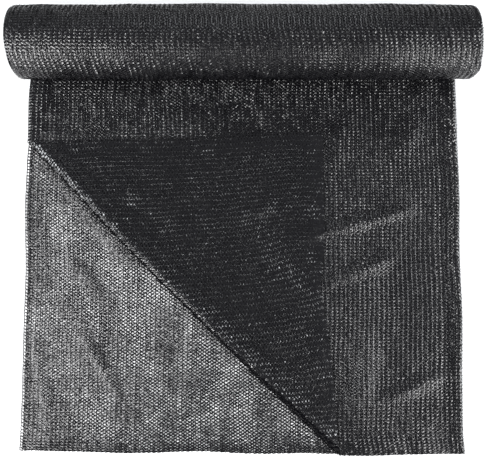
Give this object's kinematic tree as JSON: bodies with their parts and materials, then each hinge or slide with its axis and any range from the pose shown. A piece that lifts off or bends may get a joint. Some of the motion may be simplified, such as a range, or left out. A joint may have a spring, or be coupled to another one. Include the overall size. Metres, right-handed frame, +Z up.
{
  "type": "shade cloth",
  "caption": "Black knitted shade cloth, folded in half along its length and rolled up, with a loose end laid flat and a corner turned back.",
  "frame": {"origin": "on the floor, under the middle of the whole: the roll and its loose end", "axes": "+X along the roll towards the closed fold, +Y from the free end towards the roll, +Z up"},
  "size_m": [0.784, 0.7693, 0.127],
  "materials": {
    "knit_cloth": "black polyethylene tape knitted in an open mesh, dull with a soft shine on the ribs"
  },
  "bodies": {
    "root": {"roll": "knit_cloth", "loose_end": "knit_cloth"}
  },
  "joints": []
}
